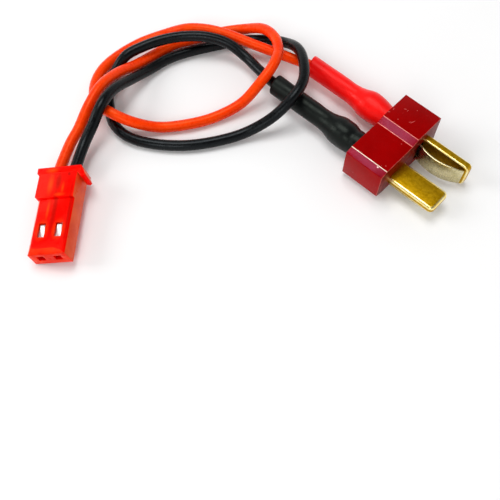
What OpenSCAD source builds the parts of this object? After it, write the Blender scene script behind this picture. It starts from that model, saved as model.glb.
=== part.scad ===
// Battery connector adapter: a two-blade moulded plug joined to a small two-pole socket
// by a red and a black silicone wire.
// +X is the way the blades go into their mate, +Y runs from the negative to the positive
// blade, +Z is up. The floor is z = 0. The origin is on the underside of the plug's
// thicker half, midway along its depth and width.

/* [Plug body] */
// Overall width of the moulded plug body
plug_width = 15.4; // [15:0.1:16]
// Depth of the plug body from its mating face to its back
plug_depth = 7.2; // [6.8:0.1:7.8]
// Height of the thicker positive half
plug_height = 7.0; // [6.8:0.1:7.4]
// Width of the flat top on the thicker half
thick_top_width = 6.1; // [5.8:0.1:6.4]
// How much lower the thinner half's top is
half_step = 0.5; // [0.3:0.1:0.7]
// Width of the slope between the two halves
slope_width = 1.4; // [1:0.1:1.6]
// Width of the facet along the negative end's edges
end_facet_width = 1.3; // [1:0.1:1.6]
// Height of the facet along the negative end's edges
end_facet_height = 0.4; // [0.2:0.1:0.6]

/* [Blades] */
// Height of both blades' centre lines above the floor
blade_z = 2.6; // [2.6:0.1:3]
// Width of each blade
blade_width = 4.5; // [4.2:0.1:4.8]
// Thickness of each blade
blade_thickness = 1.3; // [1.2:0.05:1.4]
// Length of blade in front of the mating face
blade_length = 8.7; // [8.2:0.1:9.2]
// Distance between the two blades' centres
blade_spacing = 7.5; // [7.2:0.1:7.8]
// Corner radius at the blade tips
blade_corner = 0.8; // [0.5:0.1:1]
// Thickness of the leaf springs
spring_thickness = 0.25; // [0.2:0.05:0.3]
// How far the upright blade's leaf spring bows away from it
spring_bow = 1.5; // [1.2:0.1:1.6]
// How far the flat blade's leaf spring bows down from it
flat_spring_bow = 0.4; // [0.3:0.1:0.6]
// Width of the leaf springs
spring_width = 3.7; // [3.4:0.1:4]

/* [Solder tabs] */
// Length of tab behind the plug body
tab_length = 6; // [5.5:0.1:6.2]
// Width of each solder tab
tab_width = 2.2; // [2:0.1:2.4]
// Thickness of each solder tab
tab_thickness = 0.8; // [0.6:0.1:0.9]

/* [Heat-shrink sleeves] */
// Length of the red sleeve
red_sleeve_length = 17.4; // [16.4:0.1:17.4]
// Length of the black sleeve
black_sleeve_length = 19.3; // [18.3:0.1:19.3]
// Outside diameter of a sleeve along the wire
sleeve_diameter = 3.6; // [3.4:0.1:3.8]
// Outside diameter where a sleeve bulges over the solder
bulge_diameter = 5.1; // [5:0.1:5.2]
// Outside diameter of a sleeve against the plug body
root_diameter = 4.6; // [4.6:0.1:4.9]
// Wall thickness of a sleeve over the solder
sleeve_wall = 0.5; // [0.4:0.05:0.5]

/* [Wires] */
// Outside diameter of the silicone insulation
wire_diameter = 1.85; // [1.6:0.05:1.85]
// Diameter of the bare stranded core
core_diameter = 1.0; // [0.8:0.1:1]

/* [Small socket] */
// Width of the socket's slim front body
socket_width = 6.2; // [5.8:0.1:6.4]
// Height of the socket's slim front body
socket_height = 3.2; // [3:0.1:3.4]
// Length of the slim front body
nose_length = 9.7; // [9.4:0.1:10]
// Length of the raised rear block
rear_length = 4.6; // [4.2:0.1:5]
// Width of the raised rear block
rear_width = 6.8; // [6.8:0.1:7.2]
// How much the rear block stands above the front body
rear_rise = 0.5; // [0.3:0.1:0.7]
// Distance between the two contact cavities
contact_pitch = 2.8; // [2.6:0.1:2.8]
// Length of the windows over the contacts
window_length = 2.5; // [2:0.1:2.8]
// Width of the windows over the contacts
window_width = 1.2; // [1:0.1:1.3]

/* [Socket contacts] */
// Sheet thickness of the crimp contacts
contact_thickness = 0.2; // [0.15:0.05:0.2]
// Outside width of a contact's square tube
contact_width = 1.7; // [1.6:0.1:1.8]
// Length of a contact's square tube
contact_tube_length = 6; // [5.6:0.1:6.2]

/* [Show] */
// Node to draw, or all

/* [Hidden] */
$fn = 64;
eps = 0.01;

// Plug body
front_x = plug_depth / 2;
back_x = -plug_depth / 2;
positive_end_y = thick_top_width / 2;
negative_end_y = positive_end_y - plug_width;
mid_z = plug_height / 2;
thin_top = mid_z - half_step;
facet_top = thin_top - end_facet_height;
slope_top_y = positive_end_y - thick_top_width;
slope_foot_y = slope_top_y - slope_width;
facet_y = negative_end_y + end_facet_width;

// Blades, springs and tabs
negative_y = -blade_spacing;
tip_x = front_x + blade_length;
plate_back_x = back_x + 0.8;
tab_end_x = back_x - tab_length;
spring_gap = 0.05;
spring_root_x = front_x - 1.5;
spring_end_x = tip_x - 0.5;
spring_chord = spring_end_x - spring_root_x;
function spring_radius(bow) = (pow(spring_chord / 2, 2) + pow(bow, 2)) / (2 * bow);
spring_mid_x = (spring_root_x + spring_end_x) / 2;
pocket_depth = 1.7;
function pocket_side(bow) = bow + spring_gap + spring_thickness + 0.05;

// Wires and sleeves
wire_radius = wire_diameter / 2;
core_radius = core_diameter / 2;
red_wire_y = 0.3;
black_wire_y = -7.4;
sleeve_bore = wire_radius + 0.1;
root_end = 1.4;
bulge_at = 4;
slim_at = 9.4;
insulation_x = back_x - 6.9;
strands_end_x = back_x - 0.9;
solder_start = 1.2;
solder_end = 6.4;
solder_radius = 1.5;
solder_film = 0.05;
tab_offset = core_radius + solder_film;
wire_sides = 8;
wire_rings = 40;

// Socket placement and sizes
socket_front = [-24.6, -55.9, 0];
socket_roll = 13;
socket_turn = -49;
half_pitch = contact_pitch / 2;
flange_length = 1;
block_back = -nose_length - rear_length;
socket_back = block_back - flange_length;
rear_height = socket_height + rear_rise;
flange_height = rear_height + 0.1;
flange_half = rear_width / 2 + 0.4;
nose_chamfer = 0.4;
cavity_width = 2.2;
cavity_height = 2.2;
contact_z = 1.6;
cavity_floor = contact_z - cavity_height / 2;
stop_wall = 0.8;
pin_entry = 1.2;
window_x = -4.1;

// Contacts
tube_front = -stop_wall - 0.1;
tube_back = tube_front - contact_tube_length;
contact_height = 1.9;
tube_floor = contact_z - contact_height / 2;
core_crimp_front = -8.6;
core_crimp_back = -10.4;
insulation_end = -11;
wire_crimp_front = -11.3;
wire_crimp_back = -13.5;
core_crimp_radius = core_radius + 0.02 + contact_thickness;
wire_crimp_wall = 0.13;
wire_crimp_inner = wire_radius + 0.02;
wire_crimp_radius = wire_crimp_inner + wire_crimp_wall;

// Heights of the wires: layer 0 lies on the floor and each layer above it clears a wire
floor_z = wire_radius + 0.075;
layer_rise = wire_diameter + 0.35;
function lay(n) = floor_z + n * layer_rise;

// A point of the socket's own frame, in the row frame; the socket rests on its left edge
function at_socket(p) = let (lean = p[1] + flange_half,
  across = lean * cos(socket_roll) - p[2] * sin(socket_roll) - flange_half)
  socket_front
  + [p[0] * cos(socket_turn) - across * sin(socket_turn),
     p[0] * sin(socket_turn) + across * cos(socket_turn),
     lean * sin(socket_roll) + p[2] * cos(socket_roll)];

red_route = [
  [insulation_x, red_wire_y, blade_z], [-17.5, red_wire_y, blade_z], [-21, red_wire_y, blade_z],
  [-25, -0.6, 2.3], [-28.7, -1.6, lay(0.5)], [-32.5, -3.2, lay(0.7)], [-36.3, -4.8, lay(0.95)],
  [-39.9, -6.7, lay(1.1)], [-43.3, -9.1, lay(0.95)], [-46.7, -12, lay(0.15)],
  [-48.5, -16.2, lay(0)], [-49.1, -21, lay(0)], [-48.7, -25.1, lay(0)], [-46.9, -28.6, lay(0)],
  [-43.5, -31.2, lay(0.3)], [-39.1, -31.9, lay(1.15)], [-35.2, -30.3, lay(0.75)],
  [-32, -27.2, lay(0.05)], [-28.9, -23.3, lay(0)], [-26.6, -18.9, lay(0)], [-25, -14.1, lay(0.35)],
  [-24.5, -10, 3.9], [-24.9, -6.3, 5], [-26.6, -3, 4.9], [-29.4, -0.8, lay(1.65)],
  [-33, 0, lay(1.2)], [-36.8, -0.8, lay(0.25)], [-39.9, -4.2, lay(0)], [-42, -8.4, lay(0)],
  [-43.8, -12.2, lay(0)], [-44.6, -16.4, lay(0)], [-44.5, -21, lay(0.45)], [-44.1, -25.4, lay(1.2)],
  [-43.1, -29.6, lay(1.7)], [-41.7, -33.6, lay(1.5)], [-40.2, -37.4, lay(0.9)],
  at_socket([-21, -0.4, contact_z]), at_socket([socket_back, -half_pitch, contact_z]),
  at_socket([insulation_end, -half_pitch, contact_z])];

black_route = [
  [insulation_x, black_wire_y, blade_z], [-19.5, black_wire_y, blade_z],
  [-22.9, black_wire_y, blade_z], [-27.2, -6.8, 2.3], [-31.2, -6.2, lay(0.6)],
  [-35.2, -6.8, lay(1.1)], [-38.6, -8.8, lay(1.4)], [-41.6, -11.5, lay(1.4)],
  [-43.9, -14.6, lay(1.3)], [-45.5, -17.9, lay(1.15)], [-46.5, -21.3, lay(0.9)],
  [-46.2, -24.5, lay(0.15)], [-44.5, -27.4, lay(0)], [-41.6, -29.9, lay(0)],
  [-38.2, -31.9, lay(0)], [-34.4, -32.1, lay(0)], [-30.5, -30.4, lay(0)], [-26.3, -27, lay(0)],
  [-23, -22.7, lay(0)], [-20.4, -18, lay(0.15)], [-18.3, -13.5, lay(1)], [-17.5, -9.3, 5.5],
  [-18.6, -5.5, 5.9], [-21.5, -2.2, 5.7], [-24.7, 0, 4.7], [-28.4, 1.2, lay(0.7)],
  [-32.3, 0.4, lay(0.05)], [-35.6, -3, lay(0)], [-38, -6.9, lay(0)], [-40.2, -10.8, lay(0)],
  [-42, -15.1, lay(0)], [-42.4, -19.6, lay(0.15)], [-41.9, -24.2, lay(0.85)],
  [-40.9, -28.6, lay(1.75)], [-39.5, -32.4, lay(2.05)], [-38.2, -35.9, lay(1.4)],
  at_socket([-20.5, 2.1, contact_z]), at_socket([socket_back, half_pitch, contact_z]),
  at_socket([insulation_end, half_pitch, contact_z])];

// A smooth curve through the points, read at parameter t
function before(p, i) = i == 0 ? 2 * p[0] - p[1] : p[i - 1];
function after(p, i) = i + 2 > len(p) - 1 ? 2 * p[i + 1] - p[i] : p[i + 2];
function blend(a, b, c, d, f) = 0.5 * (2 * b + (c - a) * f
  + (2 * a - 5 * b + 4 * c - d) * f * f + (3 * b - a - 3 * c + d) * f * f * f);
function curve(p, t) = let (i = min(floor(t), len(p) - 2))
  blend(before(p, i), p[i], p[i + 1], after(p, i), t - i);
function unit(v) = v / norm(v);
function ring_points(p, count) = [for (k = [0:count - 1]) curve(p, k * (len(p) - 1) / (count - 1))];
function heading(c, k) = unit(c[min(k + 1, len(c) - 1)] - c[max(k - 1, 0)]);

module tube(route, radius) {
  c = ring_points(route, wire_rings);
  points = [for (k = [0:wire_rings - 1]) let (h = heading(c, k), s = unit(cross(h, [0, 0, 1])),
    u = cross(s, h)) for (j = [0:wire_sides - 1])
    c[k] + radius * (cos(j * 360 / wire_sides) * s + sin(j * 360 / wire_sides) * u)];
  sides = [for (k = [0:wire_rings - 2]) for (j = [0:wire_sides - 1])
    let (n = (j + 1) % wire_sides, a = k * wire_sides)
    [a + j, a + n, a + wire_sides + n, a + wire_sides + j]];
  first = [for (j = [wire_sides - 1:-1:0]) j];
  last = [for (j = [0:wire_sides - 1]) (wire_rings - 1) * wire_sides + j];
  polyhedron(points, concat([first], sides, [last]));
}

// Plan shape of a blade with rounded tip corners, from x = plate_back_x to the tip
module blade_plan() {
  translate([plate_back_x, -blade_width / 2])
    square([tip_x - blade_corner - plate_back_x, blade_width]);
  translate([plate_back_x, -blade_width / 2 + blade_corner])
    square([tip_x - plate_back_x, blade_width - 2 * blade_corner]);
  for (side = [-1, 1])
    translate([tip_x - blade_corner, side * (blade_width / 2 - blade_corner)])
      circle(blade_corner);
}

// Upright plate with its tab beside the wire's core
module positive_plate() {
  translate([0, blade_thickness / 2, blade_z])
    rotate([90, 0, 0])
      linear_extrude(blade_thickness)
        blade_plan();
  translate([tab_end_x, red_wire_y - tab_offset - tab_thickness, blade_z - tab_width / 2])
    cube([plate_back_x - tab_end_x + eps, tab_thickness, tab_width]);
}

// Flat plate with its tab joggled down under the wire's core
module negative_plate() {
  translate([0, negative_y, blade_z - blade_thickness / 2])
    linear_extrude(blade_thickness)
      blade_plan();
  translate([plate_back_x, black_wire_y - tab_width / 2, blade_z - tab_offset - tab_thickness])
    cube([1.5, tab_width, tab_offset + tab_thickness]);
  translate([tab_end_x, black_wire_y - tab_width / 2, blade_z - tab_offset - tab_thickness])
    cube([plate_back_x - tab_end_x + eps, tab_width, tab_thickness]);
}

// Bowed strip seen from the side, standing off the line y = 0
module spring_plan(bow) {
  radius = spring_radius(bow);
  intersection() {
    translate([spring_mid_x, spring_gap + spring_thickness + bow - radius])
      difference() {
        circle(radius, $fn = 180);
        circle(radius - spring_thickness, $fn = 180);
      }
    translate([spring_root_x, spring_gap])
      square([spring_chord, bow + 1]);
  }
}

// Pocket beside a blade that takes the root of its spring
module spring_pocket(bow) {
  translate([front_x - pocket_depth, 0])
    square([pocket_depth + 1, pocket_side(bow)]);
}

module on_positive_side() {
  translate([0, -blade_thickness / 2, blade_z - spring_width / 2])
    mirror([0, 1, 0])
      linear_extrude(spring_width)
        children();
}

module on_negative_side() {
  translate([0, negative_y + spring_width / 2, blade_z - blade_thickness / 2])
    rotate([90, 0, 0])
      linear_extrude(spring_width)
        mirror([0, 1])
          children();
}

module plug_housing() {
  color("#8c0a12")
    difference() {
      translate([back_x, 0, mid_z])
        rotate([90, 0, 90])
          linear_extrude(plug_depth)
            polygon([
              [positive_end_y, mid_z], [slope_top_y, mid_z], [slope_foot_y, thin_top],
              [facet_y, thin_top], [negative_end_y, facet_top],
              [negative_end_y, -facet_top], [facet_y, -thin_top], [slope_foot_y, -thin_top],
              [slope_top_y, -mid_z], [positive_end_y, -mid_z]]);
      positive_plate();
      negative_plate();
      on_positive_side()
        spring_pocket(spring_bow);
      on_negative_side()
        spring_pocket(flat_spring_bow);
    }
}

module positive_blade() {
  color("#c9a227")
    positive_plate();
}

module negative_blade() {
  color("#c9a227")
    negative_plate();
}

module positive_spring() {
  color("#d6cfa8")
    on_positive_side()
      spring_plan(spring_bow);
}

module negative_spring() {
  color("#d6cfa8")
    on_negative_side()
      spring_plan(flat_spring_bow);
}

// Rounded solder joint on a wire axis that runs along x, cut flat where it meets the tab
module solder_bead(y, z) {
  translate([back_x - solder_start, y, z])
    rotate([0, -90, 0])
      rotate_extrude()
        polygon([[0, 0], [solder_radius - 0.5, 0], [solder_radius, 0.7],
          [solder_radius, solder_end - solder_start - 1.2],
          [solder_radius - 0.6, solder_end - solder_start], [0, solder_end - solder_start]]);
}

module core(x_from, x_to, y, z, radius) {
  translate([x_from, y, z])
    rotate([0, 90, 0])
      cylinder(h = x_to - x_from, r = radius);
}

module positive_solder() {
  color("#b9bcc0")
    difference() {
      solder_bead(red_wire_y, blade_z);
      translate([tab_end_x, red_wire_y - tab_offset - 3, 0])
        cube([tab_length + 1, 3, plug_height]);
      core(insulation_x - 1, back_x, red_wire_y, blade_z, core_radius);
    }
}

module negative_solder() {
  color("#b9bcc0")
    difference() {
      solder_bead(black_wire_y, blade_z);
      translate([tab_end_x, negative_end_y, blade_z - tab_offset - 3])
        cube([tab_length + 1, plug_width, 3]);
      core(insulation_x - 1, back_x, black_wire_y, blade_z, core_radius);
    }
}

module positive_strands() {
  color("#c98b5a")
    core(insulation_x, strands_end_x, red_wire_y, blade_z, core_radius);
}

module negative_strands() {
  color("#c98b5a")
    core(insulation_x, strands_end_x, black_wire_y, blade_z, core_radius);
}

// Heat-shrink sleeve, turned about the wire's axis
module sleeve(y, length) {
  root = root_diameter / 2;
  bulge = bulge_diameter / 2;
  slim = sleeve_diameter / 2;
  translate([back_x, y, blade_z])
    rotate([0, -90, 0])
      rotate_extrude()
        polygon([
          [root, 0], [root + 0.05, root_end], [bulge - 0.05, bulge_at - 1], [bulge, bulge_at],
          [bulge - 0.02, bulge_at + 1], [bulge - 0.2, bulge_at + 2.2], [slim + 0.25, slim_at - 1.8],
          [slim + 0.05, slim_at - 0.8], [slim, slim_at], [slim, length], [sleeve_bore, length],
          [sleeve_bore, slim_at - 0.2], [slim + 0.25 - sleeve_wall, slim_at - 1.8],
          [bulge - 0.2 - sleeve_wall, bulge_at + 2.2], [bulge - sleeve_wall, bulge_at + 0.6],
          [bulge - 0.05 - sleeve_wall, bulge_at - 1], [root + 0.05 - sleeve_wall, root_end],
          [root - sleeve_wall, 0]]);
}

module red_sleeve() {
  color("#e0140c")
    sleeve(red_wire_y, red_sleeve_length);
}

module black_sleeve() {
  color("#1b1d22")
    sleeve(black_wire_y, black_sleeve_length);
}

module red_wire() {
  color("#f03c10")
    tube(red_route, wire_radius);
}

module black_wire() {
  color("#15161a")
    tube(black_route, wire_radius);
}

module in_socket() {
  translate(socket_front)
    rotate([0, 0, socket_turn])
      translate([0, -flange_half, 0])
        rotate([socket_roll, 0, 0])
          translate([0, flange_half, 0])
            children();
}

// Barb on one side of the rear block
module wing_plan() {
  polygon([
    [socket_back, rear_width / 2 - 1], [socket_back, flange_half],
    [block_back + 0.9, rear_width / 2 + 1], [block_back + 1.2, rear_width / 2 + 0.6],
    [block_back, rear_width / 2 - 0.2], [block_back, rear_width / 2 - 1]]);
}

module socket_shell() {
  rotate([90, 0, 90])
    mirror([0, 0, 1])
      linear_extrude(nose_length)
        polygon([
          [-socket_width / 2, 0], [socket_width / 2, 0],
          [socket_width / 2, socket_height - nose_chamfer],
          [socket_width / 2 - nose_chamfer, socket_height],
          [nose_chamfer - socket_width / 2, socket_height],
          [-socket_width / 2, socket_height - nose_chamfer]]);
  translate([block_back, -rear_width / 2, 0])
    cube([rear_length, rear_width, rear_height]);
  translate([socket_back, -flange_half, 0])
    cube([flange_length, 2 * flange_half, flange_height]);
  for (side = [0, 1])
    mirror([0, side, 0])
      translate([0, 0, 0.8])
        linear_extrude(rear_height - 1.4)
          wing_plan();
}

module socket_housing() {
  color([0.85, 0.06, 0.04, 0.8])
    in_socket()
      difference() {
        socket_shell();
        for (side = [-1, 1])
          translate([0, side * half_pitch, 0]) {
            translate([socket_back - 1, -cavity_width / 2, cavity_floor])
              cube([-stop_wall - socket_back + 1, cavity_width, cavity_height]);
            translate([-stop_wall - 1, -pin_entry / 2, contact_z - pin_entry / 2])
              cube([stop_wall + 2, pin_entry, pin_entry]);
            translate([window_x - window_length / 2, -window_width / 2, contact_z])
              cube([window_length, window_width, socket_height]);
          }
      }
}

// Ring of sheet rolled round a wire or a core, about x
module rolled(x_from, x_to, inner, outer) {
  translate([x_from, 0, contact_z])
    rotate([0, 90, 0])
      difference() {
        cylinder(h = x_to - x_from, r = outer);
        translate([0, 0, -1])
          cylinder(h = x_to - x_from + 2, r = inner);
      }
}

// Crimp contact along x: square tube, lance, floor strip and two crimps
module contact() {
  strip_z = contact_z - core_crimp_radius;
  difference() {
    translate([tube_back, -contact_width / 2, tube_floor])
      cube([contact_tube_length, contact_width, contact_height]);
    translate([tube_back - 1, -contact_width / 2 + contact_thickness, tube_floor + contact_thickness])
      cube([contact_tube_length + 2, contact_width - 2 * contact_thickness,
        contact_height - 2 * contact_thickness]);
  }
  translate([window_x - 0.9, -0.35, tube_floor + contact_height - eps])
    rotate([90, 0, 0])
      mirror([0, 0, 1])
        linear_extrude(0.7)
          polygon([[0, 0], [1.7, 0], [0.2, 0.5], [0, 0.5]]);
  translate([core_crimp_back, -0.45, tube_floor])
    cube([tube_back + 1 - core_crimp_back, 0.9, contact_thickness]);
  translate([core_crimp_back, -0.3, strip_z - 0.1])
    cube([core_crimp_front - core_crimp_back, 0.6, contact_thickness + 0.08]);
  difference() {
    translate([wire_crimp_back, -0.35, contact_z - wire_crimp_radius + 0.02])
      cube([core_crimp_back - wire_crimp_back + 0.5, 0.7, 0.3]);
    translate([wire_crimp_back - 1, 0, contact_z])
      rotate([0, 90, 0])
        cylinder(h = insulation_end + 0.2 - wire_crimp_back + 1, r = wire_crimp_inner);
  }
  rolled(core_crimp_back, core_crimp_front, core_radius + 0.02, core_crimp_radius);
  rolled(wire_crimp_back, wire_crimp_front, wire_crimp_inner, wire_crimp_radius);
}

module positive_contact() {
  color("#cfd2d4")
    in_socket()
      translate([0, -half_pitch, 0])
        contact();
}

module negative_contact() {
  color("#cfd2d4")
    in_socket()
      translate([0, half_pitch, 0])
        contact();
}

module positive_core() {
  color("#c98b5a")
    in_socket()
      core(insulation_end + 0.03, core_crimp_front + 0.5, -half_pitch, contact_z, core_radius);
}

module negative_core() {
  color("#c98b5a")
    in_socket()
      core(insulation_end + 0.03, core_crimp_front + 0.5, half_pitch, contact_z, core_radius);
}

plug_housing();
positive_blade();
negative_blade();
positive_spring();
negative_spring();
positive_solder();
negative_solder();
positive_strands();
negative_strands();
red_sleeve();
black_sleeve();
red_wire();
black_wire();
socket_housing();
positive_contact();
negative_contact();
positive_core();
negative_core();
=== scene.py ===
import math

import bmesh
import bpy
from mathutils import Matrix, Vector


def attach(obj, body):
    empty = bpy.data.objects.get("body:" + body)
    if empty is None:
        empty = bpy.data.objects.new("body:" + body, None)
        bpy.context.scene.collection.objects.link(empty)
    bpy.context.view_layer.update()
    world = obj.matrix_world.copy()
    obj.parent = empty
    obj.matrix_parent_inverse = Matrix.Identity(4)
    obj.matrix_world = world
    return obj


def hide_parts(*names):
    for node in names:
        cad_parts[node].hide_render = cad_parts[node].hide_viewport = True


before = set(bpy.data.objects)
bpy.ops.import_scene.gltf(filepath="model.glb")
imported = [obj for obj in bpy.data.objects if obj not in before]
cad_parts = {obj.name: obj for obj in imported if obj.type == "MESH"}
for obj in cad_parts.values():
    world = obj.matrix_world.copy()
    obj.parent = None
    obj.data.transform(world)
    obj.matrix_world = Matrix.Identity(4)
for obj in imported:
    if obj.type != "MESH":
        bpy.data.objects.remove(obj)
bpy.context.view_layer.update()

# Camera
camera = bpy.data.objects.new("camera", bpy.data.cameras.new("camera"))
bpy.context.scene.collection.objects.link(camera)
camera.data.sensor_width = 36
camera.data.lens = 50.4
camera.data.clip_start = 0.005
camera.data.clip_end = 5
right = Vector((0.72838, 0.68506, 0.01238)).normalized()
forward = Vector((-0.31324, 0.34901, -0.88322)).normalized()
up = right.cross(forward).normalized()
right = forward.cross(up).normalized()
eye = Vector((0.029607, -0.071635, 0.097033))
camera.matrix_world = Matrix((
    (right.x, up.x, -forward.x, eye.x),
    (right.y, up.y, -forward.y, eye.y),
    (right.z, up.z, -forward.z, eye.z),
    (0, 0, 0, 1)))
bpy.context.scene.camera = camera
bpy.context.scene.view_settings.view_transform = "Standard"

# Sizes shared by the pieces, in metres
BLADE_Z = 0.0026
BLADE_TIP = 0.0123
BLADE_HALF_WIDTH = 0.00225
BLADE_HALF_THICKNESS = 0.00065
NEAR_BLADE_Y = -0.0075
RED_Y = 0.0003
BLACK_Y = -0.0074
BACK_X = -0.0036
FRONT_X = 0.0036
TOP = 0.007
STEP_TOP = 0.0065
WIRE_RADIUS = 0.000925
WIRE_START = -0.0105
LOWEST_AXIS = 0.000935
SOCKET_FRONT = Vector((-0.0246, -0.0559, 0))
SOCKET_TURN = math.radians(-49)
SOCKET_ROLL = math.radians(13)
SOCKET_BACK = -0.0153
FLANGE_HALF = 0.0038
CRIMP_END = -0.011
CONTACT_Y = 0.0014
CONTACT_Z = 0.0016


def lay(n):
    # Height of a wire's axis that lies n wires above the floor
    return 0.001 + 0.0022 * n


def socket_matrix():
    # From the socket's own axes, with X towards its front, to where it lies
    return (Matrix.Translation(SOCKET_FRONT) @ Matrix.Rotation(SOCKET_TURN, 4, "Z")
            @ Matrix.Translation((0, -FLANGE_HALF, 0)) @ Matrix.Rotation(SOCKET_ROLL, 4, "X")
            @ Matrix.Translation((0, FLANGE_HALF, 0)))


def at_socket(x, y, z):
    return tuple(socket_matrix() @ Vector((x, y, z)))


# Wire routes
RED_ROUTE = [
    (WIRE_START, RED_Y, BLADE_Z), (-0.0175, RED_Y, BLADE_Z), (-0.021, RED_Y, BLADE_Z),
    (-0.025, -0.0006, 0.0023), (-0.0287, -0.0016, lay(0.5)), (-0.0325, -0.0032, lay(0.7)),
    (-0.0363, -0.0048, lay(0.95)), (-0.0399, -0.0067, lay(1.1)), (-0.0433, -0.0091, lay(0.95)),
    (-0.0467, -0.012, lay(0.15)), (-0.0485, -0.0162, lay(0)), (-0.0491, -0.021, lay(0)),
    (-0.0487, -0.0251, lay(0)), (-0.0469, -0.0286, lay(0)), (-0.0435, -0.0312, lay(0.3)),
    (-0.0391, -0.0319, lay(1.15)), (-0.0352, -0.0303, lay(0.75)), (-0.032, -0.0272, lay(0.05)),
    (-0.0289, -0.0233, lay(0)), (-0.0266, -0.0189, lay(0)), (-0.025, -0.0141, lay(0.35)),
    (-0.0245, -0.01, 0.0039), (-0.0249, -0.0063, 0.005), (-0.0266, -0.003, 0.0049),
    (-0.0294, -0.0008, lay(1.65)), (-0.033, 0, lay(1.2)), (-0.0368, -0.0008, lay(0.25)),
    (-0.0399, -0.0042, lay(0)), (-0.042, -0.0084, lay(0)), (-0.0438, -0.0122, lay(0)),
    (-0.0446, -0.0164, lay(0)), (-0.0445, -0.021, lay(0.45)), (-0.0441, -0.0254, lay(1.2)),
    (-0.0431, -0.0296, lay(1.7)), (-0.0417, -0.0336, lay(1.5)), (-0.0402, -0.0374, lay(0.9)),
    at_socket(-0.021, -0.0004, CONTACT_Z), at_socket(SOCKET_BACK, -CONTACT_Y, CONTACT_Z),
    at_socket(CRIMP_END, -CONTACT_Y, CONTACT_Z)]
BLACK_ROUTE = [
    (WIRE_START, BLACK_Y, BLADE_Z), (-0.0195, BLACK_Y, BLADE_Z), (-0.0229, BLACK_Y, BLADE_Z),
    (-0.0272, -0.0068, 0.0023), (-0.0312, -0.0062, lay(0.6)), (-0.0352, -0.0068, lay(1.1)),
    (-0.0386, -0.0088, lay(1.4)), (-0.0416, -0.0115, lay(1.4)), (-0.0439, -0.0146, lay(1.3)),
    (-0.0455, -0.0179, lay(1.15)), (-0.0465, -0.0213, lay(0.9)), (-0.0462, -0.0245, lay(0.15)),
    (-0.0445, -0.0274, lay(0)), (-0.0416, -0.0299, lay(0)), (-0.0382, -0.0319, lay(0)),
    (-0.0344, -0.0321, lay(0)), (-0.0305, -0.0304, lay(0)), (-0.0263, -0.027, lay(0)),
    (-0.023, -0.0227, lay(0)), (-0.0204, -0.018, lay(0.15)), (-0.0183, -0.0135, lay(1)),
    (-0.0175, -0.0093, 0.0055), (-0.0186, -0.0055, 0.0059), (-0.0215, -0.0022, 0.0057),
    (-0.0247, 0, 0.0047), (-0.0284, 0.0012, lay(0.7)), (-0.0323, 0.0004, lay(0.05)),
    (-0.0356, -0.003, lay(0)), (-0.038, -0.0069, lay(0)), (-0.0402, -0.0108, lay(0)),
    (-0.042, -0.0151, lay(0)), (-0.0424, -0.0196, lay(0.15)), (-0.0419, -0.0242, lay(0.85)),
    (-0.0409, -0.0286, lay(1.75)), (-0.0395, -0.0324, lay(2.05)), (-0.0382, -0.0359, lay(1.4)),
    at_socket(-0.0205, 0.0021, CONTACT_Z), at_socket(SOCKET_BACK, CONTACT_Y, CONTACT_Z),
    at_socket(CRIMP_END, CONTACT_Y, CONTACT_Z)]


def smooth_line(route, steps=9):
    # Points of a smooth curve through the route, kept on or above the floor
    p = [Vector(q) for q in route]
    out = []
    for i in range(len(p) - 1):
        a = p[i - 1] if i > 0 else 2 * p[0] - p[1]
        d = p[i + 2] if i + 2 < len(p) else 2 * p[-1] - p[-2]
        b, c = p[i], p[i + 1]
        for k in range(steps):
            f = k / steps
            q = 0.5 * (2 * b + (c - a) * f + (2 * a - 5 * b + 4 * c - d) * f * f
                       + (3 * b - a - 3 * c + d) * f ** 3)
            q.z = max(q.z, LOWEST_AXIS)
            out.append(q)
    out.append(p[-1])
    return out


def link(name, data):
    obj = bpy.data.objects.new(name, data)
    bpy.context.scene.collection.objects.link(obj)
    return obj


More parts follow.
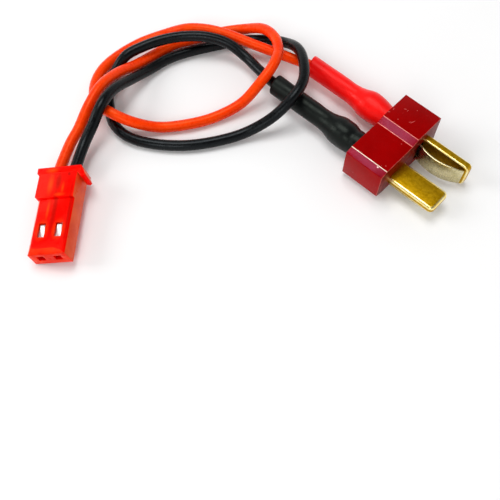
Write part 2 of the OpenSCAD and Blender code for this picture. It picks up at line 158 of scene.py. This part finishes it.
# Materials
class Shader:
    # Strings procedural nodes together on one material
    def __init__(self, name):
        self.material = bpy.data.materials.new(name)
        self.material.use_nodes = True
        self.tree = self.material.node_tree
        self.tree.nodes.clear()
        self.out = self.add("ShaderNodeOutputMaterial")
        self.bsdf = self.add("ShaderNodeBsdfPrincipled")
        self.link(self.bsdf.outputs[0], self.out.inputs[0])
        self.where = self.add("ShaderNodeTexCoord").outputs["Object"]

    def add(self, kind):
        return self.tree.nodes.new(kind)

    def link(self, a, b):
        self.tree.links.new(a, b)

    def framed(self, location, rotation, scale=(1, 1, 1)):
        # The texture space measured from a frame of its own
        m = self.add("ShaderNodeMapping")
        m.vector_type = "TEXTURE"
        for key, value in (("Location", location), ("Rotation", rotation), ("Scale", scale)):
            m.inputs[key].default_value = value
        self.link(self.where, m.inputs[0])
        return m.outputs[0]

    def combine(self, operation, a, b):
        m = self.add("ShaderNodeMath")
        m.operation = operation
        self.link(a, m.inputs[0])
        self.link(b, m.inputs[1])
        return m.outputs[0]

    def noise(self, scale, detail=3.0, rough=0.55, stretch=None):
        where = self.where
        if stretch:
            mapping = self.add("ShaderNodeMapping")
            mapping.inputs["Scale"].default_value = stretch
            self.link(where, mapping.inputs[0])
            where = mapping.outputs[0]
        n = self.add("ShaderNodeTexNoise")
        n.inputs["Scale"].default_value = scale
        n.inputs["Detail"].default_value = detail
        n.inputs["Roughness"].default_value = rough
        self.link(where, n.inputs["Vector"])
        return n.outputs[0]

    def ramp(self, value, stops):
        r = self.add("ShaderNodeValToRGB")
        e = r.color_ramp.elements
        while len(e) < len(stops):
            e.new(0.5)
        for item, (at, colour) in zip(e, stops):
            item.position = at
            item.color = (*colour, 1)
        self.link(value, r.inputs[0])
        return r.outputs[0]

    def spread(self, value, low, high, start=0.3, end=0.7):
        m = self.add("ShaderNodeMapRange")
        m.inputs["From Min"].default_value = start
        m.inputs["From Max"].default_value = end
        m.inputs["To Min"].default_value = low
        m.inputs["To Max"].default_value = high
        self.link(value, m.inputs[0])
        return m.outputs[0]

    def painted(self, mask, ground, colour):
        m = self.add("ShaderNodeMix")
        m.data_type = "RGBA"
        self.link(mask, m.inputs[0])
        self.link(ground, m.inputs[6])
        m.inputs[7].default_value = (*colour, 1)
        return m.outputs[2]

    def marks(self, items, soft=0.4):
        # One mask of small ellipsoid marks: each is (centre, half sizes, turn in degrees)
        total = None
        for centre, half, turn in items:
            g = self.add("ShaderNodeTexGradient")
            g.gradient_type = "SPHERICAL"
            self.link(self.framed(centre, (0, 0, math.radians(turn)), half), g.inputs[0])
            total = g.outputs[1] if total is None else self.combine("MAXIMUM", total, g.outputs[1])
        return self.spread(total, 0, 1, 0, soft)

    def bump(self, height, strength, depth, under=None):
        b = self.add("ShaderNodeBump")
        b.inputs["Strength"].default_value = strength
        b.inputs["Distance"].default_value = depth
        self.link(height, b.inputs["Height"])
        if under:
            self.link(under, b.inputs["Normal"])
        return b.outputs[0]


def linear(r, g, b):
    # A colour written as it is seen on a screen, 0 to 255, in the shader's linear values
    return tuple((v / 255 / 12.92) if v <= 10 else ((v / 255 + 0.055) / 1.055) ** 2.4
                 for v in (r, g, b))


def plastic(name, dark, light, rough, grain=900.0, mottle=160.0, depth=0.00002, glow=0.0,
            shine=0.4, tint=(1, 1, 1), paint=(), place=None):
    # paint is a list of (colour, soft, marks) laid over the mottled ground
    s = Shader(name)
    if place:
        s.where = s.framed(*place)
    colour = s.ramp(s.noise(mottle, 4), [(0.35, dark), (0.65, light)])
    for over, soft, items in paint:
        colour = s.painted(s.marks(items, soft), colour, over)
    s.link(colour, s.bsdf.inputs["Base Color"])
    roughness = s.spread(s.noise(grain * 0.6, 3), rough - 0.06, rough + 0.08)
    s.link(roughness, s.bsdf.inputs["Roughness"])
    fine = s.bump(s.noise(grain, 4), 0.25, depth)
    s.link(s.bump(s.noise(grain * 0.15, 2), 0.15, depth * 4, fine), s.bsdf.inputs["Normal"])
    s.bsdf.inputs["Specular IOR Level"].default_value = shine
    s.bsdf.inputs["Specular Tint"].default_value = (*tint, 1)
    if glow:
        s.bsdf.inputs["Subsurface Weight"].default_value = glow
        s.bsdf.inputs["Subsurface Radius"].default_value = (1.0, 0.15, 0.08)
        s.bsdf.inputs["Subsurface Scale"].default_value = 0.0012
    return s.material


def metal(name, dark, light, rough, grain=2600.0, stretch=(1, 1, 1), depth=0.00001, mottle=500.0):
    s = Shader(name)
    colour = s.ramp(s.noise(mottle, 5, 0.7), [(0.36, dark), (0.62, light)])
    s.link(colour, s.bsdf.inputs["Base Color"])
    s.bsdf.inputs["Metallic"].default_value = 1.0
    roughness = s.spread(s.noise(grain * 0.5, 4), rough - 0.04, rough + 0.08)
    s.link(roughness, s.bsdf.inputs["Roughness"])
    fine = s.bump(s.noise(grain, 4, 0.7, stretch), 0.5, depth)
    s.link(s.bump(s.noise(mottle, 3), 0.25, depth * 3, fine), s.bsdf.inputs["Normal"])
    return s.material


# Moulded plug, with scuffs on its top that are each (centre, half sizes, turn in degrees)
SCUFFS = [((-0.0032, -0.0008, TOP), (0.00022, 0.00007, 0.0001), 85),
          ((-0.0034, -0.0018, TOP), (0.00026, 0.00006, 0.0001), 38),
          ((-0.0018, 0.0005, TOP), (0.00032, 0.00006, 0.0001), 34),
          ((-0.0013, 0.0005, TOP), (0.00024, 0.00005, 0.0001), 85),
          ((0.0007, -0.0008, TOP), (0.0006, 0.00006, 0.0001), 73),
          ((0.0004, -0.0011, TOP), (0.0003, 0.00005, 0.0001), 50),
          ((-0.0014, -0.002, TOP), (0.0001, 0.0001, 0.0001), 0),
          ((-0.0002, 0.0016, TOP), (0.00009, 0.00009, 0.0001), 0),
          ((0.0027, -0.0103, STEP_TOP), (0.00014, 0.0001, 0.0001), 30),
          ((0.0019, -0.0052, STEP_TOP), (0.00012, 0.00006, 0.0001), 60)]
plug_red = plastic("plug_red", linear(138, 0, 0), linear(150, 0, 1), 0.2, grain=1500, mottle=260,
                   depth=0.000002, shine=0.16, tint=(1, 0.1, 0.12),
                   paint=[(linear(206, 92, 88), 0.5, SCUFFS)])
# The slope and the end facet get a lilac copy of the red with a lilac specular tint: a painted
# reflection of the lamp. The near-white spot on the end facet is a painted highlight.
plug_painted_sheen = plastic("plug_painted_sheen", linear(128, 0, 14), linear(146, 2, 20), 0.2, grain=1500,
                     mottle=400, depth=0.000002, shine=0.3, tint=(0.9, 0.34, 0.62),
                     paint=[(linear(255, 226, 214), 0.5,
                             [((0.0019, -0.0113, 0.0064), (0.0002, 0.00014, 0.0002), 0)])])
# The front face gets a darker copy of the red: painted shade.
plug_front_painted_shade = plastic("plug_front_painted_shade", linear(98, 0, 0), linear(124, 4, 2), 0.3, grain=1500,
                     mottle=300, depth=0.000004, shine=0.1, tint=(1, 0.1, 0.1))
# The walls inside the spring slots are painted near-black: painted shade.
plug_slot_painted_shade = plastic("plug_slot_painted_shade", linear(26, 1, 1), linear(44, 2, 2), 0.6, shine=0.1)
# Broken pale lines on the slope's two edges: partly wear, partly a painted highlight of the edges
# catching the light.
plug_edge_wear_and_highlight = plastic("plug_edge_wear_and_highlight", linear(196, 70, 66), linear(240, 140, 124), 0.25, grain=2400,
                    mottle=1100, depth=0.000006)
# A cream line along the end facet's upper edge: painted highlight.
plug_crease_highlight = plastic("plug_crease_highlight", linear(246, 206, 176), linear(255, 244, 226), 0.25,
                      grain=2400, mottle=900, depth=0.000006)
# Lighter lines on the front edges and the back corner of the thin half: painted highlight.
plug_line_highlight = plastic("plug_line_highlight", linear(150, 30, 24), linear(190, 74, 60), 0.3, grain=2400,
                    mottle=900, depth=0.000006)
# Wires and sleeves
red_silicone = plastic("red_silicone", linear(246, 50, 0), linear(255, 64, 0), 0.27, grain=2200,
                       mottle=300, depth=0.000006, shine=0.42, tint=(1, 0.5, 0.2))
black_silicone = plastic("black_silicone", linear(1, 1, 2), linear(5, 6, 7), 0.27, grain=2200,
                         mottle=300, depth=0.000006, shine=0.2, tint=(0.86, 0.95, 1))
red_shrink = plastic("red_shrink", linear(236, 8, 8), linear(255, 16, 12), 0.32, grain=1200,
                     mottle=240, depth=0.000014, shine=0.4, tint=(1, 0.32, 0.3))
black_shrink = plastic("black_shrink", linear(3, 4, 5), linear(10, 12, 14), 0.36, grain=1200,
                       mottle=240, depth=0.00002, shine=0.18, tint=(0.86, 1, 0.86))
# Small socket, on its own axes: an orange painted glow of light through the thin places of its
# translucent plastic, and darker painted shade on its thick webs and walls
SOCKET_AXES = (tuple(socket_matrix().to_translation()), (SOCKET_ROLL, 0, SOCKET_TURN))
THIN_PLACE_GLOW = [((-0.0041, y, 0.003), (0.0021, 0.00125, 0.002), 0) for y in (-CONTACT_Y, CONTACT_Y)]
THIN_PLACE_GLOW += [((-0.0121, -0.0011, 0.0037), (0.0024, 0.0006, 0.001), 0),
           ((-0.0078, -0.001, 0.0032), (0.0022, 0.0003, 0.001), 0),
           ((-0.0101, 0.0007, 0.0037), (0.0004, 0.0011, 0.001), 0),
           ((-0.0113, 0.0011, 0.0037), (0.0013, 0.0003, 0.001), 0),
           ((-0.0147, -0.0012, 0.0038), (0.0007, 0.0013, 0.001), 0)]
# Darker painted shade on the thick webs and walls of the plastic
THICK_PLACE_SHADE = [((-0.0075, 0.0001, 0.003), (0.0062, 0.0006, 0.002), 0),
       ((-0.007, 0.0027, 0.003), (0.0075, 0.0004, 0.002), 0),
       ((-0.0138, 0.0018, 0.0037), (0.0005, 0.0004, 0.001), 30),
       ((-0.0125, 0.0002, 0.0037), (0.0022, 0.0007, 0.001), 0)]
socket_red = plastic("socket_red", linear(236, 0, 0), linear(252, 2, 0), 0.28, grain=900,
                     mottle=260, depth=0.00001, glow=0.15, shine=0.14, tint=(1, 0.3, 0.1),
                     place=SOCKET_AXES, paint=[(linear(200, 2, 0), 0.7, THICK_PLACE_SHADE),
                                               (linear(255, 66, 8), 0.9, THIN_PLACE_GLOW)])
# One side face gets a lighter orange copy of the red: painted light.
socket_side_painted_light = plastic("socket_side_painted_light", linear(214, 62, 20), linear(232, 84, 34), 0.32, grain=900,
                      mottle=300, depth=0.00001, glow=0.1, shine=0.14, tint=(1, 0.4, 0.15))
# The nose gets a lighter orange copy of the red: painted glow of light through the thin front.
socket_front = plastic("socket_front", linear(228, 26, 4), linear(246, 52, 14), 0.3, grain=900,
                       mottle=420, depth=0.00001, glow=0.15, shine=0.12, tint=(1, 0.4, 0.15))
# The left chamfer is painted pale pink: painted highlight of the light from the left.
socket_chamfer_highlight = plastic("socket_chamfer_highlight", linear(250, 120, 104), linear(255, 176, 158), 0.3, grain=900,
                      mottle=500, depth=0.00001, glow=0.1)
# Blades, springs, contacts, joints and strands
gold = metal("gold", linear(172, 128, 0), linear(204, 160, 22), 0.34, grain=5200, depth=0.000002,
             mottle=1800)
# The blades' bevelled edges are painted pale gold: painted highlight.
gold_edge_highlight = metal("gold_edge_highlight", linear(250, 214, 110), linear(255, 246, 186), 0.22, grain=5200,
                  depth=0.000004, mottle=900)
spring_metal = metal("spring_metal", linear(196, 186, 140), linear(226, 216, 176), 0.25,
                     grain=4400, stretch=(0.2, 1, 1), depth=0.000003)
tin = metal("tin", linear(214, 214, 216), linear(246, 246, 244), 0.46, grain=4000,
            depth=0.000001, mottle=1500)
solder_grey = metal("solder_grey", linear(150, 152, 156), linear(190, 192, 196), 0.35)
copper = metal("copper", linear(190, 110, 60), linear(224, 150, 100), 0.35, stretch=(0.1, 1, 1))

# Wires
for name, route, wire, finish in (("red_cord", RED_ROUTE, "red_wire", red_silicone),
                                  ("black_cord", BLACK_ROUTE, "black_wire", black_silicone)):
    line = smooth_line(route)
    data = bpy.data.curves.new(name, "CURVE")
    data.dimensions = "3D"
    data.bevel_depth = WIRE_RADIUS
    data.bevel_resolution = 8
    data.use_fill_caps = True
    spline = data.splines.new("POLY")
    spline.points.add(len(line) - 1)
    for point, q in zip(spline.points, line):
        point.co = (*q, 1)
    spline.use_smooth = True
    data.materials.append(finish)
    cord = link(name, data)
    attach(cord, "root")
    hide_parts(wire)


# Shapes
def finish_mesh(name, bm, materials=(), smooth=35):
    bmesh.ops.recalc_face_normals(bm, faces=bm.faces)
    data = bpy.data.meshes.new(name)
    bm.to_mesh(data)
    bm.free()
    for m in materials:
        data.materials.append(m)
    for p in data.polygons:
        p.use_smooth = True
    obj = link(name, data)
    data.set_sharp_from_angle(angle=math.radians(smooth))
    return obj


def apply_modifiers(obj):
    bpy.context.view_layer.update()
    seen = obj.evaluated_get(bpy.context.evaluated_depsgraph_get())
    made = bpy.data.meshes.new_from_object(seen)
    obj.modifiers.clear()
    made.name = obj.data.name + "_made"
    obj.data = made


def bevelled(obj, width, segments=3, material=-1, angle=30):
    m = obj.modifiers.new("bevel", "BEVEL")
    m.width = width
    m.segments = segments
    m.limit_method = "ANGLE"
    m.angle_limit = math.radians(angle)
    m.material = material
    apply_modifiers(obj)
    for p in obj.data.polygons:
        p.use_smooth = True
    obj.data.set_sharp_from_angle(angle=math.radians(40))


def cut(obj, tool, kind="DIFFERENCE"):
    m = obj.modifiers.new("cut", "BOOLEAN")
    m.operation = kind
    m.solver = "EXACT"
    m.object = tool
    apply_modifiers(obj)
    bpy.data.objects.remove(tool)


def joined(obj, other):
    bm = bmesh.new()
    bm.from_mesh(obj.data)
    bm.from_mesh(other.data)
    bm.to_mesh(obj.data)
    bm.free()
    bpy.data.objects.remove(other)


def prism(name, outline, axis, low, high, materials=()):
    # A straight prism: outline is a list of 2-D points across the axis
    place = {"X": lambda a, b, at: (at, a, b), "Y": lambda a, b, at: (a, at, b),
             "Z": lambda a, b, at: (a, b, at)}[axis]
    bm = bmesh.new()
    ends = [[bm.verts.new(place(a, b, at)) for a, b in outline] for at in (low, high)]
    n = len(outline)
    for i in range(n):
        j = (i + 1) % n
        bm.faces.new((ends[0][i], ends[0][j], ends[1][j], ends[1][i]))
    bm.faces.new(ends[0])
    bm.faces.new(list(reversed(ends[1])))
    return finish_mesh(name, bm, materials)


def block(name, low, high, materials=()):
    outline = [(low[1], low[2]), (high[1], low[2]), (high[1], high[2]), (low[1], high[2])]
    return prism(name, outline, "X", low[0], high[0], materials)


def near(value, wanted):
    return abs(value - wanted) < 0.0002


# Plug body: a thick and a thin half, joined by a slope
SLOPE_START = -0.00305
SLOPE_END = -0.00445
END_BEVEL = -0.01105
END_Y = -0.01235
SLOT_FLOOR = 0.0019
PAST_FRONT = 0.005
PLUG_FINISHES = [plug_red, plug_edge_wear_and_highlight, plug_painted_sheen, plug_front_painted_shade, plug_slot_painted_shade, plug_line_highlight, plug_crease_highlight]
PLAIN, EDGE_WEAR_AND_HIGHLIGHT, PAINTED_SHEEN, FRONT_SHADE, SLOT_SHADE, LINE_HIGHLIGHT, CREASE_HIGHLIGHT = range(len(PLUG_FINISHES))
outline = [(-SLOPE_START, TOP), (SLOPE_START, TOP), (SLOPE_END, STEP_TOP), (END_BEVEL, STEP_TOP),
           (END_Y, 0.0061), (END_Y, 0.0009), (END_BEVEL, 0.0005), (SLOPE_END, 0.0005),
           (SLOPE_START, 0.0), (-SLOPE_START, 0.0)]
plug = prism("plug_body", outline, "X", BACK_X, FRONT_X, PLUG_FINISHES)
# Slots beside the blades, which the leaf springs come out of
cut(plug, block("tool", (SLOT_FLOOR, -0.0025, 0.00075),
                (PAST_FRONT, -BLADE_HALF_THICKNESS, 0.00445)))
cut(plug, block("tool", (SLOT_FLOOR, -0.00935, 0.0012),
                (PAST_FRONT, -0.00565, BLADE_Z - BLADE_HALF_THICKNESS)))
bevelled(plug, 0.00007, material=EDGE_WEAR_AND_HIGHLIGHT, angle=12)
# Faces are sorted into finishes: painted shade in the slots and on the front face, painted
# highlights on chosen bevelled edges, and a painted reflection on the slope and end facet.
for face in plug.data.polygons:
    c, n = face.center, face.normal
    on_top = c.z > STEP_TOP - 0.0003 and abs(n.x) < 0.4
    front_edge = c.x > FRONT_X - 0.0002 and (n.z > 0.25 or n.y < -0.25)
    back_corner = c.x < BACK_X + 0.0002 and c.y < -0.0095 and n.z > 0.25
    in_slot = SLOT_FLOOR - 0.0001 < c.x < FRONT_X - 0.00015
    if in_slot and -0.0094 < c.y < -0.0006 and 0.0007 < c.z < 0.0045:
        face.material_index = SLOT_SHADE
    elif face.material_index == EDGE_WEAR_AND_HIGHLIGHT:
        if on_top and near(c.y, END_BEVEL):
            face.material_index = CREASE_HIGHLIGHT
        elif on_top and (near(c.y, SLOPE_START) or near(c.y, SLOPE_END)):
            face.material_index = EDGE_WEAR_AND_HIGHLIGHT
        elif front_edge or back_corner:
            face.material_index = LINE_HIGHLIGHT
        else:
            face.material_index = PLAIN
    elif n.x > 0.9:
        face.material_index = FRONT_SHADE
    elif n.z > 0.9 and n.y < -0.2:
        face.material_index = PAINTED_SHEEN
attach(plug, "root")
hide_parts("plug_housing")


# Blades with rounded tips and stamped edges, each with a solder tab at the back
TAB_BACK, TAB_FRONT = -0.0096, -0.0027
TAB_HALF = 0.0011
TAB_OUTER, TAB_INNER = 0.00135, 0.00055
GOLD_FINISHES = [gold, gold_edge_highlight]


def blade(name, centre, upright, tab_low, tab_high):
    r = 0.0008
    inner_end = -0.0028
    half, t = BLADE_HALF_WIDTH, BLADE_HALF_THICKNESS
    outline = [(inner_end, -half)]
    for side, start in ((-1, -90), (1, 0)):
        for k in range(7):
            a = math.radians(start + 15 * k)
            outline.append((BLADE_TIP - r + r * math.cos(a),
                            side * (half - r) + r * math.sin(a)))
    outline.append((inner_end, half))
    across, along = (2, 1) if upright else (1, 2)
    obj = prism(name, [(x, centre[across] + w) for x, w in outline], "Y" if upright else "Z",
                centre[along] - t, centre[along] + t, GOLD_FINISHES)
    # The bevel faces get the painted edge highlight.
    bevelled(obj, 0.00022 if upright else 0.0004, 5, material=GOLD_FINISHES.index(gold_edge_highlight),
             angle=40)
    tab = block(name + "_tab", tab_low, tab_high, GOLD_FINISHES)
    bevelled(tab, 0.0001, 2)
    joined(obj, tab)
    return obj


far_blade = blade("far_blade", (0, 0, BLADE_Z), True,
                  (TAB_BACK, RED_Y - TAB_OUTER, BLADE_Z - TAB_HALF),
                  (TAB_FRONT, RED_Y - TAB_INNER, BLADE_Z + TAB_HALF))
near_blade = blade("near_blade", (0, NEAR_BLADE_Y, BLADE_Z), False,
                   (TAB_BACK, BLACK_Y - TAB_HALF, BLADE_Z - TAB_OUTER),
                   (TAB_FRONT, BLACK_Y + TAB_HALF, BLADE_Z - TAB_INNER))
for obj, node in ((far_blade, "positive_blade"), (near_blade, "negative_blade")):
    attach(obj, "root")
    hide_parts(node)


# Leaf springs
def leaf(name, bow, place):
    # A strip bent to an arc of the given height, narrower towards its tip
    x0, x1 = 0.0021, 0.0118
    gap, thick, half = 0.00005, 0.00025, 0.00185
    n = 28
    bm = bmesh.new()
    rings = []
    chord = x1 - x0
    radius = ((chord / 2) ** 2 + bow ** 2) / (2 * bow)
    for k in range(n + 1):
        x = x0 + chord * k / n
        dx = x - (x0 + x1) / 2
        lift = math.sqrt(radius ** 2 - dx ** 2) - (radius - bow)
        top = gap + thick + lift
        low = max(gap, top - thick)
        narrow = 1 - 0.12 * max(0, (k / n - 0.8) / 0.2)
        ring = []
        for w, h in ((-half * narrow, low), (half * narrow, low), (half * narrow, top),
                     (-half * narrow, top)):
            ring.append(bm.verts.new(place(x, w, max(h, gap + 0.00001))))
        rings.append(ring)
    for a, b in zip(rings, rings[1:]):
        for i in range(4):
            j = (i + 1) % 4
            bm.faces.new((a[i], a[j], b[j], b[i]))
    bm.faces.new(rings[0])
    bm.faces.new(list(reversed(rings[-1])))
    bmesh.ops.remove_doubles(bm, verts=bm.verts, dist=1e-7)
    obj = finish_mesh(name, bm, [spring_metal])
    bevelled(obj, 0.00006, 2, angle=50)
    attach(obj, "root")
    return obj


far_spring = leaf("far_spring", 0.0015,
                  lambda x, w, h: (x, -BLADE_HALF_THICKNESS - h, BLADE_Z + w))
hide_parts("positive_spring")
near_spring = leaf("near_spring", 0.0004,
                   lambda x, w, h: (x, NEAR_BLADE_Y + w, BLADE_Z - BLADE_HALF_THICKNESS - h))
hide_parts("negative_spring")


# Heat-shrink sleeves
def hump(s, middle, width):
    return math.exp(-((s - middle) / width) ** 2)


def wave(angle):
    return 0.5 + 0.5 * math.cos(angle)


def sleeve(name, y, length, finish, node, seed, root, ridge, mouth):
    # Radius and distance from the plug, down the outside and back up the inside
    outer = [(0.00222, 0), (0.00228, 0.0012), (0.00246, 0.0024), (0.00258, 0.0036),
             (0.00258, 0.0048), (0.00244, 0.0056), (0.0021, 0.0066), (0.0019, 0.0074),
             (0.00182, 0.0084), (0.0018, 0.0094), (0.0018, length - 0.0001), (0.00174, length)]
    inner = [(0.0011, length), (0.00103, length - 0.0002), (0.00103, 0.0092), (0.0016, 0.0076),
             (0.0019, 0.003), (0.00185, 0)]
    rings = []
    for a, b in zip(outer, outer[1:]):
        steps = max(1, int((b[1] - a[1]) / 0.00022))
        rings += [(a[0] + (b[0] - a[0]) * k / steps, a[1] + (b[1] - a[1]) * k / steps, True)
                  for k in range(steps)]
    rings.append((*outer[-1], True))
    rings += [(r, s, False) for r, s in inner]
    sides = 72
    bm = bmesh.new()
    loops = []
    for r, s, outside in rings:
        loop = []
        for j in range(sides):
            a = 2 * math.pi * j / sides
            q = r
            if outside:
                # Lumps over the joint, a slimmer root, a ridge, creases and a waist
                swell = hump(s, 0.0042, 0.0022)
                q -= 0.00012 * swell * wave(3 * a + seed)
                q -= root * hump(s, 0, 0.0018) * wave(a)
                q -= ridge * hump(s, 0.0021, 0.0006) * wave(a - 1.2)
                q -= 0.00004 * swell * wave(s * 1900 + 2 * math.sin(a + seed) - math.pi / 2)
                q -= 0.00003 * wave(s * 700 + 3 * a + seed - math.pi / 2)
                q -= 0.00008 * hump(s, 0.0088, 0.0011) * wave(2 * a)
            # The mouth is cut slightly oblique
            skew = mouth * (1 + math.cos(a)) * max(0.0, (s - length + 0.003) / 0.003)
            loop.append(bm.verts.new((BACK_X - s - skew, y + q * math.cos(a),
                                      BLADE_Z + q * math.sin(a))))
        loops.append(loop)
    for a, b in zip(loops, loops[1:] + loops[:1]):
        for j in range(sides):
            k = (j + 1) % sides
            bm.faces.new((a[j], a[k], b[k], b[j]))
    obj = finish_mesh(name, bm, [finish], 50)
    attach(obj, "root")
    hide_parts(node)


sleeve("red_tube", RED_Y, 0.0174, red_shrink, "red_sleeve", seed=0.6,
       root=0.00032, ridge=0.00005, mouth=0.0004)
sleeve("black_tube", BLACK_Y, 0.0193, black_shrink, "black_sleeve", seed=2.1,
       root=0.00012, ridge=0.00024, mouth=0.0002)

# Small socket, built on its own axes: slim body, block behind it, rear lip and latch wing
BLOCK_BACK = -0.0143
BODY_BACK = -0.0096
BODY_HALF = 0.0031
BODY_TOP = 0.0032
CHAMBER_HALF = 0.0011
WINDOW_HALF = 0.0006
SOCKET_FINISHES = [socket_red, socket_chamfer_highlight, socket_side_painted_light, socket_front]
CHAMFER_HIGHLIGHT, LIT_SIDE, NOSE_GLOW = range(1, len(SOCKET_FINISHES))
outline = [(-BODY_HALF, 0), (BODY_HALF, 0), (BODY_HALF, 0.003), (0.0029, BODY_TOP),
           (-0.0027, BODY_TOP), (-BODY_HALF, 0.0028)]
nose = prism("socket_body", outline, "X", BODY_BACK - 0.0001, 0, SOCKET_FINISHES)
rear = [(BLOCK_BACK - 0.0001, -0.0034), (BLOCK_BACK - 0.0001, BODY_HALF), (BODY_BACK, BODY_HALF),
        (BODY_BACK, -BODY_HALF), (BODY_BACK - 0.0003, -0.0034)]
wing = [(SOCKET_BACK + 0.0001, 0.003), (SOCKET_BACK + 0.0001, 0.0037), (-0.0134, 0.0046),
        (-0.0131, 0.0043), (-0.0132, 0.0038), (BLOCK_BACK, 0.003)]
cut(nose, prism("tool", rear, "Z", 0, 0.0037), "UNION")
cut(nose, block("tool", (SOCKET_BACK, -FLANGE_HALF, 0), (BLOCK_BACK + 0.00001, 0.0036, 0.0038)),
    "UNION")
cut(nose, prism("tool", wing, "Z", 0.001, 0.00375), "UNION")
# For each contact: its chamber, the entry at the front and the window in the roof
for y in (-CONTACT_Y, CONTACT_Y):
    cut(nose, block("tool", (SOCKET_BACK - 0.001, y - CHAMBER_HALF, 0.0005),
                    (-0.0008, y + CHAMBER_HALF, 0.0027)))
    cut(nose, block("tool", (-0.0018, y - WINDOW_HALF, 0.001), (0.0012, y + WINDOW_HALF, 0.0022)))
    cut(nose, block("tool", (-0.00535, y - WINDOW_HALF, CONTACT_Z),
                    (-0.00285, y + WINDOW_HALF, 0.0048)))
# The roof slopes down to the front edge from a shallow arch
arch = [(-0.0032, -0.0011), (-0.0012, -0.0009), (0.0011, -0.001), (0.0024, -0.0005),
        (0.0032, 0.0003)]
AHEAD, ABOVE = 0.0006, 0.004
bm = bmesh.new()
rows = [[bm.verts.new((AHEAD, y, 0.0027)) for y, x in arch],
        [bm.verts.new((x, y, BODY_TOP + 0.00001)) for y, x in arch],
        [bm.verts.new((x, y, ABOVE)) for y, x in arch],
        [bm.verts.new((AHEAD, y, ABOVE)) for y, x in arch]]
for a, b in zip(rows, rows[1:] + rows[:1]):
    for k in range(len(arch) - 1):
        bm.faces.new((a[k], a[k + 1], b[k + 1], b[k]))
for k in (0, -1):
    bm.faces.new([row[k] for row in rows])
cut(nose, finish_mesh("tool", bm))
bevelled(nose, 0.00008, 2)
# Faces get the painted finishes: painted highlight on the left chamfer, painted light on one side,
# painted glow on the nose.
for face in nose.data.polygons:
    c, n = face.center, face.normal
    if n.y < -0.3 and n.z > 0.3 and c.x > BODY_BACK - 0.0002 and c.y < -0.0026:
        face.material_index = CHAMFER_HIGHLIGHT
    elif n.y > 0.75 and c.y > BODY_HALF - 0.0001:
        face.material_index = LIT_SIDE
    elif c.x > -0.0012 and (n.x > 0.1 or c.z > 0.003):
        face.material_index = NOSE_GLOW
nose.data.transform(socket_matrix())
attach(nose, "root")
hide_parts("socket_housing")

# Finishes of the nodes that are kept as they come
for kind, finish, slot in (
        ("contact", tin, "tin_plate"), ("solder", solder_grey, "solder"),
        ("strands", copper, "copper_strand"), ("core", copper, "copper_strand")):
    for pole in ("positive", "negative"):
        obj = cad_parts[pole + "_" + kind]
        obj.data.materials.clear()
        obj.data.materials.append(finish)

# Floor
BACKDROP = 0.9
paper = Shader("paper")
shades = [(0.3, (0.915, 0.915, 0.915)), (0.7, (0.93, 0.93, 0.93))]
paper.link(paper.ramp(paper.noise(30, 2), shades), paper.bsdf.inputs["Base Color"])
paper.bsdf.inputs["Roughness"].default_value = 0.9
paper.bsdf.inputs["Specular IOR Level"].default_value = 0.1
# Far from the object, out of reach of the lamps, the paper stays as pale as the backdrop
far = paper.spread(paper.marks([((0, 0, 0), (0.6, 0.6, 0.6), 0)], 1), 1, 0, 0.35, 0.75)
ray = paper.add("ShaderNodeLightPath").outputs
seen = paper.combine("MAXIMUM", ray["Is Camera Ray"], ray["Is Glossy Ray"])
seen = paper.combine("MAXIMUM", seen, ray["Is Transmission Ray"])
plain = paper.add("ShaderNodeEmission")
plain.inputs["Strength"].default_value = BACKDROP
blend = paper.add("ShaderNodeMixShader")
paper.link(paper.combine("MULTIPLY", far, seen), blend.inputs[0])
paper.link(paper.bsdf.outputs[0], blend.inputs[1])
paper.link(plain.outputs[0], blend.inputs[2])
paper.link(blend.outputs[0], paper.out.inputs[0])
bm = bmesh.new()
bmesh.ops.create_grid(bm, x_segments=2, y_segments=2, size=1.5)
floor = finish_mesh("floor", bm, [paper.material])
floor.location = (0, 0, -0.00001)

# Light: a backdrop that is bright near the horizon and dim above, and three soft lamps
world = bpy.data.worlds.new("studio")
bpy.context.scene.world = world
world.use_nodes = True
nodes = world.node_tree.nodes
sky = nodes["Background"]
sky.inputs[0].default_value = (1, 1, 1, 1)
way = nodes.new("ShaderNodeTexCoord")
height = nodes.new("ShaderNodeSeparateXYZ")
fade = nodes.new("ShaderNodeMapRange")
for key, value in (("From Min", 0.4), ("From Max", 0.75), ("To Min", BACKDROP), ("To Max", 0.22)):
    fade.inputs[key].default_value = value
world.node_tree.links.new(way.outputs["Generated"], height.inputs[0])
world.node_tree.links.new(height.outputs["Z"], fade.inputs[0])
world.node_tree.links.new(fade.outputs[0], sky.inputs[1])


def lamp(name, place, target, size, watts):
    data = bpy.data.lights.new(name, "AREA")
    data.shape = "SQUARE"
    data.size = size
    data.energy = watts
    obj = link(name, data)
    obj.location = place
    obj.rotation_mode = "QUATERNION"
    obj.rotation_quaternion = (Vector(target) - Vector(place)).to_track_quat("-Z", "Y")


centre = (-0.019, -0.025, 0)
lamp("soft_top", (-0.14, 0.02, 0.5), centre, 0.28, 1.25)
lamp("soft_left", (-0.3, -0.26, 0.24), centre, 0.18, 0.55)
lamp("soft_front", (0.15, -0.35, 0.3), centre, 0.18, 0.45)
